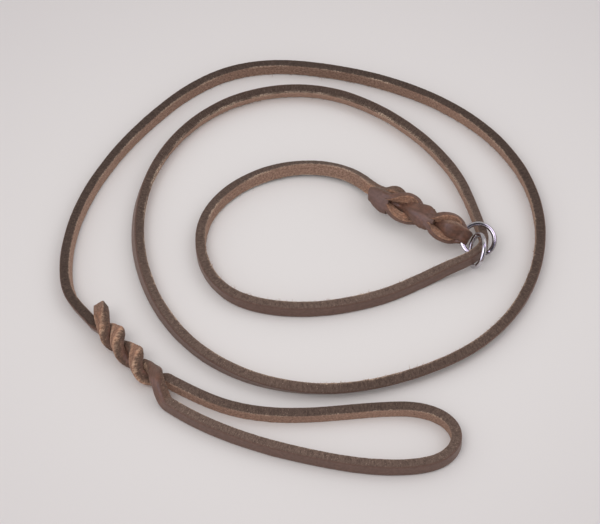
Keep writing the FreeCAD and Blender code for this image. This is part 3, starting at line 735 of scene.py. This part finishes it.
def split_half(name, start, side, along_start, seed, tone, stretch=1.0):
    """One half of the strap where it opens round the other: it starts beside its twin on the
    out side, bulges sideways, rolls its raw slit face outwards and goes to the back."""
    rows = []
    for past, out, up, degrees in UPPER_HALF if side > 0 else LOWER_HALF:
        roll = math.radians(degrees)
        rows.append((start + past * stretch, out, side * up,
                     math.cos(roll), side * math.sin(roll), 0, 1.9, 2.75))
    ring_piece(name, rows, along_start, seed, 0.5, tone, 1.08, slit=-side, rough=1.5, rub=0.15)


SLIT_A, SLIT_B = 12.0, 40.0
# rows from here on have the columns of braid_band; this end has a narrower tip
ring_tail = ring_piece("ring_braid_cut_end", [
    (-2.2, 2.4, -0.1, 1, 0, 0, 3.9, 2.45), (-0.5, 2.6, -0.3, 1, 0, 0, 4.4, 2.6),
    (2.3, 2.8, -0.7, 1, 0, 0, 5.1, 2.7), (5.3, 2.9, -1.4, 1, 0, 0, 5.8, 2.75),
    (8.3, 2.9, -1.8, 1, 0, 0, 6.2, 2.75), (10.7, 2.7, -1.8, 1, 0, 0, 6.0, 2.5),
], 2000, 21, soft=0.13, tone=0.95, crown=1.0)
split_half("ring_braid_slit_a_upper", SLIT_A, 1, 2020, 22, 0.8)
split_half("ring_braid_slit_a_lower", SLIT_A, -1, 2060, 23, 0.95)

# behind, the same end comes together again, goes through the other slit and round the ring
EYE_CENTRE = np.array([87.26182, 7.68386, 10.01197])
EYE_RADIUS = 3.0
eye_along = float((EYE_CENTRE - RING_LOW) @ RING_AXIS)
eye_origin, eye_axis_out, eye_axis_up, _ = ring_frame(np.array([eye_along]))
eye_out = float((EYE_CENTRE - eye_origin[0]) @ eye_axis_out[0])
eye_up = float((EYE_CENTRE - eye_origin[0]) @ eye_axis_up[0])


def eye_turn(angles):
    """Rows round the eye; 90 degrees is its out side and 0 its far end."""
    rows = []
    for degrees in angles:
        cos, sin = math.cos(math.radians(degrees)), math.sin(math.radians(degrees))
        rows.append((eye_along + EYE_RADIUS * cos, eye_out + EYE_RADIUS * sin, eye_up - 0.7,
                     sin, -0.45 * max(0.0, sin), cos, 4.0, 1.5))
    return rows


eye_near = ring_piece("ring_eye_near", [
    (27.0, -2.8, 0, 1, 0, 0, 3.4, 2.7), (33.0, -2.8, 0, 1, 0, 0, 3.4, 2.7),
    (38.0, -2.3, 0, 1, 0, 0, 3.5, 2.6), (42.0, -0.9, 0, 1, -0.2, 0, 3.8, 2.4),
    (45.5, 1.0, -0.3, 0.92, -0.4, 0, 4.3, 2.4), (49.0, 2.6, -0.7, 0.8, -0.6, 0, 4.8, 2.6),
    (53.0, 2.6, eye_up - 0.7, 0.8, -0.6, 0, 4.6, 2.3), *eye_turn((85, 62, 38, 15, 0, -8)),
], 2100, 24, soft=0.35, tone=np.r_[[1.0] * 4, 1.25, 1.55, [1.65] * 7], crown=0.5)
ring_piece("ring_eye_far", [
    *eye_turn((8, 0, -15, -38, -62, -85)),
    (53.5, eye_out - EYE_RADIUS + 0.3, eye_up * 0.8, -1, 0, 0, 3.3, 1.7),
    (50.0, -3.6, eye_up * 0.4, -1, 0, 0, 3.4, 2.2), (46.5, -3.0, 0.2, -1, 0, 0, 3.5, 2.6),
], 2150, 25, soft=0.3, tone=0.85)
# the standing side, on the out side between the slits, then its own slit
ring_front = ring_piece("ring_braid_front", [
    (6.0, -1.4, -1.6, 1, 0, 0, 4.0, 1.6), (11.0, -1.0, -1.2, 1, 0, 0, 4.2, 1.8),
    (15.0, -1.4, -0.8, 1, 0, 0, 4.4, 2.3), (18.6, -0.7, -0.3, 1, 0, 0, 4.3, 2.4),
    (22.0, 1.0, 0.2, 1, 0, 0, 4.3, 2.5), (25.4, 2.6, 0.3, 1, 0, 0, 4.9, 2.6),
    (29.0, 3.1, 0.2, 1, 0, 0, 6.0, 2.7), (33.0, 3.1, 0.1, 1, 0, 0, 6.9, 2.7),
    (36.5, 3.0, -0.1, 1, 0, 0, 6.3, 2.7), (40.0, 2.6, 0, 1, 0, 0, 4.6, 2.4),
], 2200, 26, soft=0.6, tone=0.9, crown=1.9, rough=1.4)
split_half("ring_braid_slit_b_upper", SLIT_B, 1, 2230, 27, 0.85)
split_half("ring_braid_slit_b_lower", SLIT_B, -1, 2260, 28, 0.95, stretch=0.85)

# the noose side of the run, up to where it dives into the slit
dive = braid_band(ring_frame, [
    (0.5, -3.6, 0.6, -0.97, 0.2, 0, 3.5, 2.8), (4.5, -3.2, 1.5, -0.93, 0.36, 0, 3.5, 2.8),
    (8.0, -2.4, 3.6, -0.84, 0.54, 0, 3.5, 2.8), (11.5, -1.9, 4.7, -0.8, 0.6, 0, 3.6, 2.8),
    (15.0, -1.8, 3.2, -0.88, 0.48, 0, 3.6, 2.7), (18.5, -1.4, 0.8, -0.97, 0.2, 0, 3.4, 2.4),
], soft=0.4, tone=0.95, nap=0.98)
noose = sweep("noose_run", join(run_band(NOOSE_CUT, 1492.0)[1], dive), NOOSE_CUT, "noose", 5)
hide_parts("ring_pass", "ring_exit", "noose_lower", "noose_bend", "noose_upper")
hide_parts("ring_braid_tail")
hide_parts("ring_braid_lead")
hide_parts("ring_eye")

# ---------------------------------------------------------------- hand braid: two sides wound
HAND_LOW = np.array([-77.43015, -95.8856, 7.0])
HAND_HIGH = np.array([-107.89488, -55.81683, 7.0])
HAND_AXIS = unit(HAND_LOW - HAND_HIGH)
TOWARDS_VIEW = np.array([0.0, -0.669, 0.743])
HAND_FACE = unit(TOWARDS_VIEW - HAND_AXIS * float(TOWARDS_VIEW @ HAND_AXIS))
HAND_ACROSS = -np.cross(HAND_AXIS, HAND_FACE)       # towards +x, +y and up
WOUND = (3.75, 3.15)        # half width and half thickness of the wound strap


def hand_frame(at):
    ones = np.ones((len(at), 1))
    return (HAND_HIGH + HAND_AXIS * at[:, None], HAND_FACE * ones, HAND_ACROSS * ones,
            HAND_AXIS)


def hand_rows(table):
    """Rows for braid_band from columns: along, across, face, the angle the flesh side looks
    (degrees from across towards face), half width, half thickness."""
    at, across, face, flesh, half_width, half_thick = np.array(table, float).T
    grain = np.radians(flesh + 180)
    return np.column_stack([at, face, across, np.sin(grain), np.cos(grain), 0 * at,
                            half_width, half_thick])


def hand_band(table, step=2.0, tone=0.85, nap=0.82):
    """Band through a smoothly resampled table of hand_rows."""
    table = np.array(table, float)
    at = np.arange(table[0, 0], table[-1, 0] + 0.01, step)
    fine = np.column_stack([at, spline(table[:, 0], table[:, 1:], at)])
    fine[:, 3] = np.interp(at, table[:, 0], table[:, 3])
    return braid_band(hand_frame, hand_rows(fine), 1.0, tone, nap)


# side 1: the lead comes in from behind, winds over the face and goes behind again
lead_winding = hand_band([
    (2.5, 0.3, -3.3, 345, *WOUND), (6.0, 2.6, -1.9, 372, *WOUND), (9.3, 3.3, 0.2, 405, *WOUND),
    (12.5, 2.3, 2.4, 450, *WOUND), (15.5, 0.0, 3.3, 492, *WOUND), (18.7, -2.3, 2.4, 530, *WOUND),
    (21.8, -3.3, 0.2, 570, *WOUND), (27.0, -2.3, -2.3, 610, *WOUND),
    (33.0, 0.0, -3.3, 660, *WOUND)])
lead = sweep("lead_into_hand_braid", join(reverse(run_band(2.0, LEAD_CUT)[1]), lead_winding),
             3000, None, RUN_SEED, rub=0.9)
blend_at(lead, "hand_braid", "lead_side", HAND_BEND)
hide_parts("lead_left_lower", "handle_braid_lead")
# side 2: the cut end passes over the lead, goes behind, comes over the face, goes behind again
cut_end = hand_band([
    (-9.6, 6.0, 0.4, 92, 3.2, 2.9), (-7.0, 4.9, 1.4, 96, 3.4, 3.0),
    (-2.5, 2.6, 2.7, 110, 3.6, 3.1), (3.4, -0.4, 3.3, 135, 3.7, 3.1),
    (8.8, -3.3, 0.6, 215, *WOUND), (12.5, -2.6, -2.0, 260, *WOUND),
    (18.0, 0.0, -3.3, 315, *WOUND), (23.0, 2.6, -2.0, 365, *WOUND),
    (26.8, 3.3, 0.2, 405, *WOUND), (30.0, 2.3, 2.4, 450, *WOUND), (33.0, 0.0, 3.3, 492, *WOUND),
    (36.2, -2.3, 2.4, 525, *WOUND), (39.4, -3.3, 0.1, 545, *WOUND),
    (43.5, -1.6, -2.9, 535, *WOUND), (46.0, 0.6, -4.0, 522, 3.4, 2.8)])
cut_end["soft"][:8] = [0.1, 0.1, 0.15, 0.3, 0.5, 0.7, 0.85, 0.95]
hand_tail = sweep("hand_braid_cut_end", cut_end, 3200, "hand_braid", 33, rub=0.9, rough=1.7)
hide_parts("handle_braid_tail", "handle_tail_end")

# the rest of side 1 runs out into the loop, whose far end comes back as the rest of side 2
LOOP_ALONG = 3300       # where the loop starts in the tables along the strap
LOOP_S = chord(LOOP)


def loop_band(start, end):
    s = even_steps(start, end, 2.5)
    centre, travel = centre_and_travel(LOOP_S, LOOP, s)
    grain = -unit(np.cross(Z, travel))          # the grain is on the outside of the loop
    grain, width = leaned(grain, Z, np.interp(s, *LOOP_LEAN))
    return plain_band(LOOP_ALONG + s, centre, grain, width, np.full(len(s), HALF_THICK))


loop_out = hand_band([
    (31.0, -1.0, -3.2, 120, *WOUND), (38.5, 2.3, -2.3, 160, *WOUND),
    (44.5, 3.3, 0.2, 225, *WOUND), (48.3, 2.1, 2.4, 264, *WOUND),
    (52.5, 0.5, 2.6, 298, 3.6, 3.0)], step=1.9, tone=0.95, nap=0.9)
loop_back = braid_band(hand_frame, hand_rows([
    (43.0, -1.4, -3.4, 541, 3.2, 2.6), (46.3, 1.0, -4.6, 520, 3.4, 2.7)]), 0.6, 0.85, 0.95)
loop = sweep("hand_loop_strap", join(loop_out, loop_band(13.0, LOOP_S[-1]), reverse(loop_back)),
             LOOP_ALONG - 25.0, None, 34, rub=0.6)
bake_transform(loop)
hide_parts("handle_lower_limb", "handle_bight", "handle_upper_limb")

# ---------------------------------------------------------------- rings: welded round wire
RING_RADIUS, WIRE_RADIUS = 9.0, 1.3
RING_SEGMENTS, WIRE_SEGMENTS = 220, 36


def ring(name, centre, normal, body, weld_angle):
    normal = unit(normal)
    first = unit(np.cross(normal, Z))
    second = np.cross(normal, first)
    verts, faces = [], []
    for i in range(RING_SEGMENTS):
        turn = 2 * math.pi * i / RING_SEGMENTS
        from_weld = ((turn - weld_angle + math.pi) % (2 * math.pi) - math.pi) * RING_RADIUS
        # a raised bead at the weld with a groove to each side
        bead = (0.16 * math.exp(-(from_weld / 0.75) ** 2)
                - 0.10 * math.exp(-((abs(from_weld) - 1.15) / 0.30) ** 2))
        spoke = first * math.cos(turn) + second * math.sin(turn)
        for j in range(WIRE_SEGMENTS):
            angle = 2 * math.pi * j / WIRE_SEGMENTS
            cos, sin = math.cos(angle), math.sin(angle)
            lump = 1 + 0.25 * math.sin(3 * angle + 1.3) * math.exp(-(from_weld / 0.8) ** 2)
            wobble = 0.012 * float(noise3(turn * 7, cos * 1.2, sin * 1.2, 77))
            radius = WIRE_RADIUS + bead * lump + wobble
            verts.append(centre + spoke * (RING_RADIUS + radius * cos) + normal * radius * sin)
    for i in range(RING_SEGMENTS):
        here = i * WIRE_SEGMENTS
        there = (i + 1) % RING_SEGMENTS * WIRE_SEGMENTS
        for j in range(WIRE_SEGMENTS):
            k = (j + 1) % WIRE_SEGMENTS
            faces.append((here + j, there + j, there + k, here + k))
    ob = make_object(name, verts, faces, METAL, {})
    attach(ob, body)
    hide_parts(body)


ring("eye_ring_wire", np.array([95.77149, 5.14631, 8.54692]), (0.0, -0.5, 0.86603),
     "eye_ring", weld_angle=2.2)
ring("running_ring_wire", np.array([94.57097, -4.03593, 9.699]), (0.9231, 0.12576, -0.36342),
     "running_ring", weld_angle=3.6)

# ---------------------------------------------------------------- loose fibres, raw leather
FIBRE_RINGS, FIBRE_SIDES = 4, 3


def fibre_spots(start, end, count, seed):
    """Random places on the flesh side, mostly at its rims: point, outward, along."""
    rng = np.random.default_rng(seed)
    s, centre, grain, width, travel, lift = run_frames(start, end, 1.0)
    spots = []
    for _ in range(count):
        i = int(rng.integers(2, len(s) - 2))
        at_rim = rng.random() < 0.75
        q = rng.choice([3.35, 3.35, -3.35]) if at_rim else rng.uniform(-3.2, 3.2)
        up = 1.0 if q > 3 else (-0.2 if q < -3 else 0.0)
        spots.append((centre[i] - grain[i] * 2.75 + width[i] * q + Z * lift[i],
                      -grain[i] * 0.9 + width[i] * up * 0.7, travel[i]))
    return spots


def fibres(name, spots, body, seed):
    rng = np.random.default_rng(seed)
    verts, faces = [], []
    for root, outward, along in spots:
        length = rng.uniform(0.4, 1.5) * (1.9 if rng.random() < 0.06 else 1.0)
        root_radius = rng.uniform(0.055, 0.12)
        lie = unit(outward * rng.uniform(0.3, 1.0) + along * rng.normal(0, 0.9)
                   + rng.normal(0, 0.35, 3))
        bend = rng.normal(0, 0.6, 3)
        base = len(verts)
        first = unit(np.cross(lie, rng.normal(0, 1, 3)))
        second = np.cross(lie, first)
        for i in range(FIBRE_RINGS):
            t = i / (FIBRE_RINGS - 1)
            centre = root - lie * 0.12 + lie * length * t + bend * length * 0.45 * t * t
            centre[2] = max(centre[2], 0.05)        # above the floor
            radius = root_radius * (1 - 0.75 * t)
            for k in range(FIBRE_SIDES):
                angle = 2 * math.pi * k / FIBRE_SIDES
                verts.append(centre + (first * math.cos(angle) + second * math.sin(angle))
                             * radius)
        for i in range(FIBRE_RINGS - 1):
            start = base + i * FIBRE_SIDES
            faces += bridge(start, start + FIBRE_SIDES, FIBRE_SIDES)
        tip = base + (FIBRE_RINGS - 1) * FIBRE_SIDES
        faces += [(base + 2, base + 1, base), (tip, tip + 1, tip + 2)]
    ob = make_object(name, verts, faces, LEATHER,
                     dict(kind=2.0, run=5.0, girth=3.0, tone=1.0, nap=1.7), smooth=False)
    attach(ob, body)


fibres("fibres_outer", fibre_spots(210, 685, count=620, seed=11), "lead_outer", seed=12)
fibres("fibres_coil", fibre_spots(875, 1046, count=360, seed=13), "coil", seed=14)
fibres("fibres_noose", fibre_spots(1195, 1480, count=420, seed=15), "noose", seed=16)

for name, *_, replaced in RUN_PIECES:
    if replaced:
        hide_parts(*replaced)


# ---------------------------------------------------------------- floor, light, camera (metres)
def floor(size=6.0, height=-0.0003, cells=8, colour=(0.82, 0.79, 0.785)):
    mesh = bpy.data.meshes.new("floor")
    row = cells + 1
    verts = [((i / cells - 0.5) * size, (j / cells - 0.5) * size, height)
             for j in range(row) for i in range(row)]
    faces = [(j * row + i, j * row + i + 1, (j + 1) * row + i + 1, (j + 1) * row + i)
             for j in range(cells) for i in range(cells)]
    mesh.from_pydata(verts, [], faces)
    mesh.update()
    ob = link_object("floor", mesh)
    material, g = new_material("floor_paper")
    place = g.add("NewGeometry", output="Position")
    distance = g.add("VectorMath", {0: place}, "Value", operation="LENGTH")
    # painted shade: the floor darkens from 0.10 m to 0.30 m out from the middle, a painted vignette
    painted_shade_colour = tuple(c * k for c, k in zip(colour, (0.86, 0.85, 0.86)))
    g.finish("OutputMaterial", g.add("BsdfPrincipled", {
        "Base Color": g.ramp(distance, [(0.10, colour), (0.30, painted_shade_colour)]),
        "Roughness": 0.9,
        "Specular IOR Level": 0.1}))
    mesh.materials.append(material)


def aim(ob, location, target):
    ob.location = location
    direction = Vector(target) - Vector(location)
    ob.rotation_euler = direction.to_track_quat("-Z", "Y").to_euler()


def area_light(name, location, size, power, colour):
    light = bpy.data.lights.new(name, "AREA")
    light.shape = "DISK"
    light.size = size
    light.energy = power
    light.color = colour
    aim(link_object(name, light), location, (0, 0, 0))


def soft_room():
    """Even light for everything, but glossy rays see a dim room with two cool windows."""
    world = bpy.data.worlds.new("soft_room")
    bpy.context.scene.world = world
    g = Graph(world)
    direction = g.add("TexCoord", output="Generated")

    def facing(axis):
        return g.add("VectorMath", {0: direction, 1: axis}, "Value", operation="DOT_PRODUCT")

    room = g.ramp(facing((0.0, -0.62, 0.785)), [
        (0.0, (0.55, 0.54, 0.53)), (0.45, (0.75, 0.73, 0.72)), (0.62, (0.30, 0.29, 0.30)),
        (0.74, (0.07, 0.07, 0.08)), (1.0, (0.035, 0.035, 0.04))])
    # windows: axis, falloff from its rim to its middle, colour
    for axis, falloff, colour in (((-0.80, -0.45, 0.40), (0.80, 0.97), (2.2, 2.1, 2.6)),
                                  ((0.42, -0.10, 0.90), (0.955, 0.985), (2.4, 1.9, 3.0))):
        room = g.mix(g.remap(facing(axis), falloff), room, colour)
    even = g.add("Background", {"Color": (1.0, 0.985, 0.98), "Strength": 0.68})
    seen = g.add("Background", {"Color": room, "Strength": 1.0})
    glossy = g.add("LightPath", output="Is Glossy Ray")
    g.finish("OutputWorld", g.add("MixShader", {0: glossy, 1: even, 2: seen}))


def camera():
    lens = bpy.data.cameras.new("camera")
    lens.sensor_width = 36
    lens.lens = 150
    lens.clip_end = 20
    ob = link_object("camera", lens)
    aim(ob, metres((-2.59822, -926.93193, 1025.32414)),
        metres((-2.59822, -6.87735, HALF_WIDTH)))
    bpy.context.scene.camera = ob


floor()
area_light("key", (-0.55, -0.7, 1.25), size=0.9, power=4.6, colour=(1.0, 0.985, 0.975))
area_light("fill", (0.9, 0.3, 1.1), size=1.2, power=2.6, colour=(0.96, 0.97, 1.0))
soft_room()
camera()
bpy.context.scene.view_settings.view_transform = "Standard"
bpy.context.scene.view_settings.look = "None"

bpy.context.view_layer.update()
